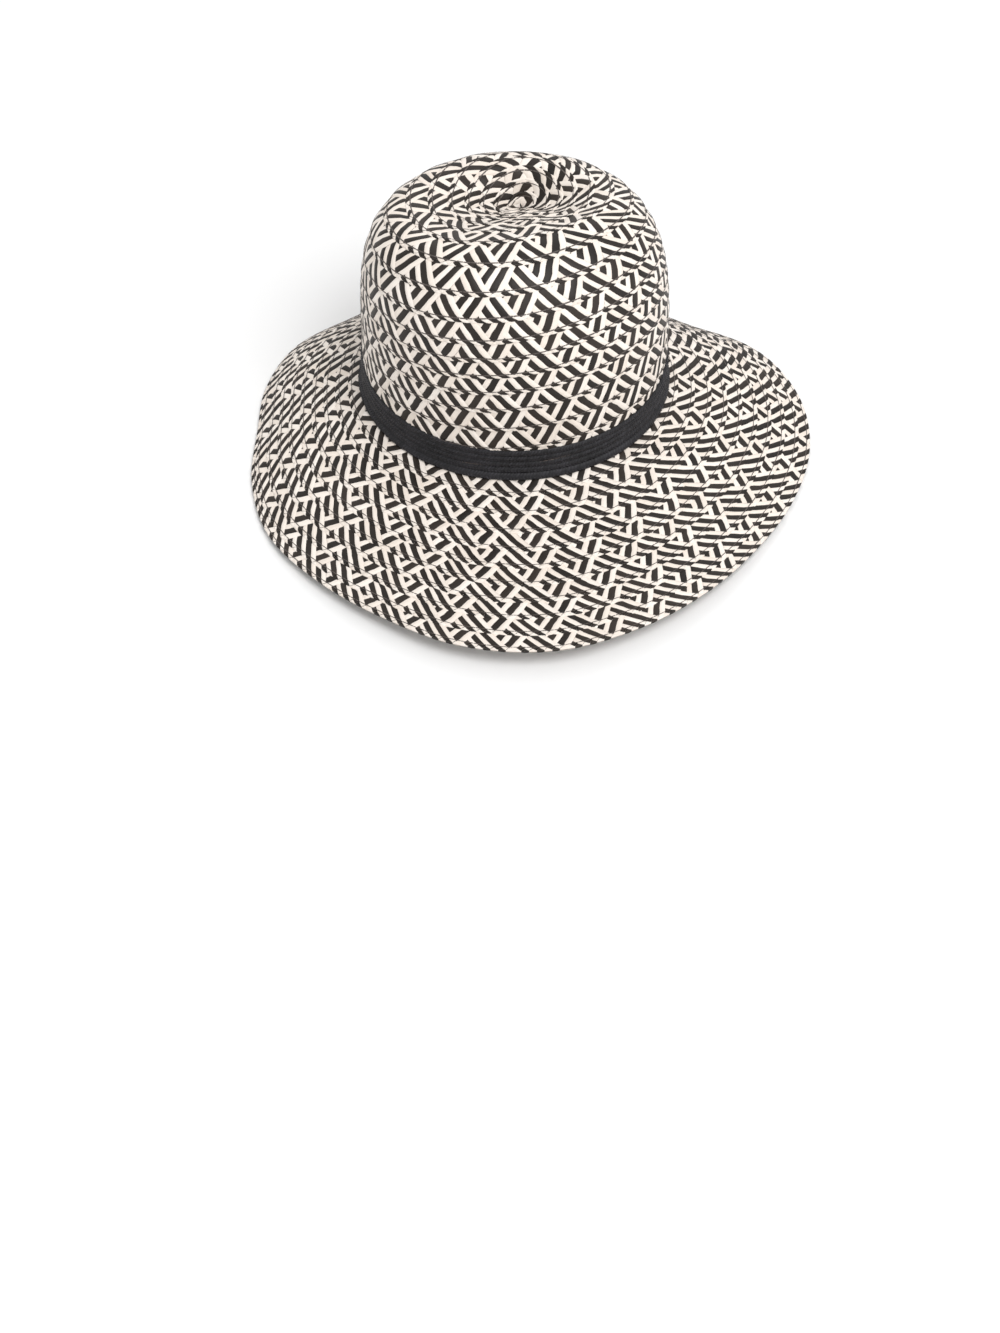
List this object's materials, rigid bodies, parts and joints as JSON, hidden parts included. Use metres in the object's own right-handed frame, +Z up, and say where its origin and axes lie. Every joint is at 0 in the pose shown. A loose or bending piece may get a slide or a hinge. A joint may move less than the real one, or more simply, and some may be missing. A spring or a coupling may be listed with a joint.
{
  "type": "straw sun hat",
  "caption": "Straw sun hat sewn from flat two-tone braid: a round crown with a dished tip, a drooping brim wide in front and narrow behind, and a dark braid band.",
  "frame": {"origin": "centre of the hat's bounding box, on the surface that the brim rests on", "axes": "+Z up, through the crown; -Y is the front, where the brim is widest; +X is the side on the right of a viewer who looks at the front"},
  "size_m": [0.3517, 0.343, 0.1792],
  "materials": {
    "straw": "matt two-tone braid",
    "band": "satin dark braid"
  },
  "bodies": {
    "root": {"crown": "straw", "brim": "straw", "hat_band": "band"}
  },
  "joints": []
}
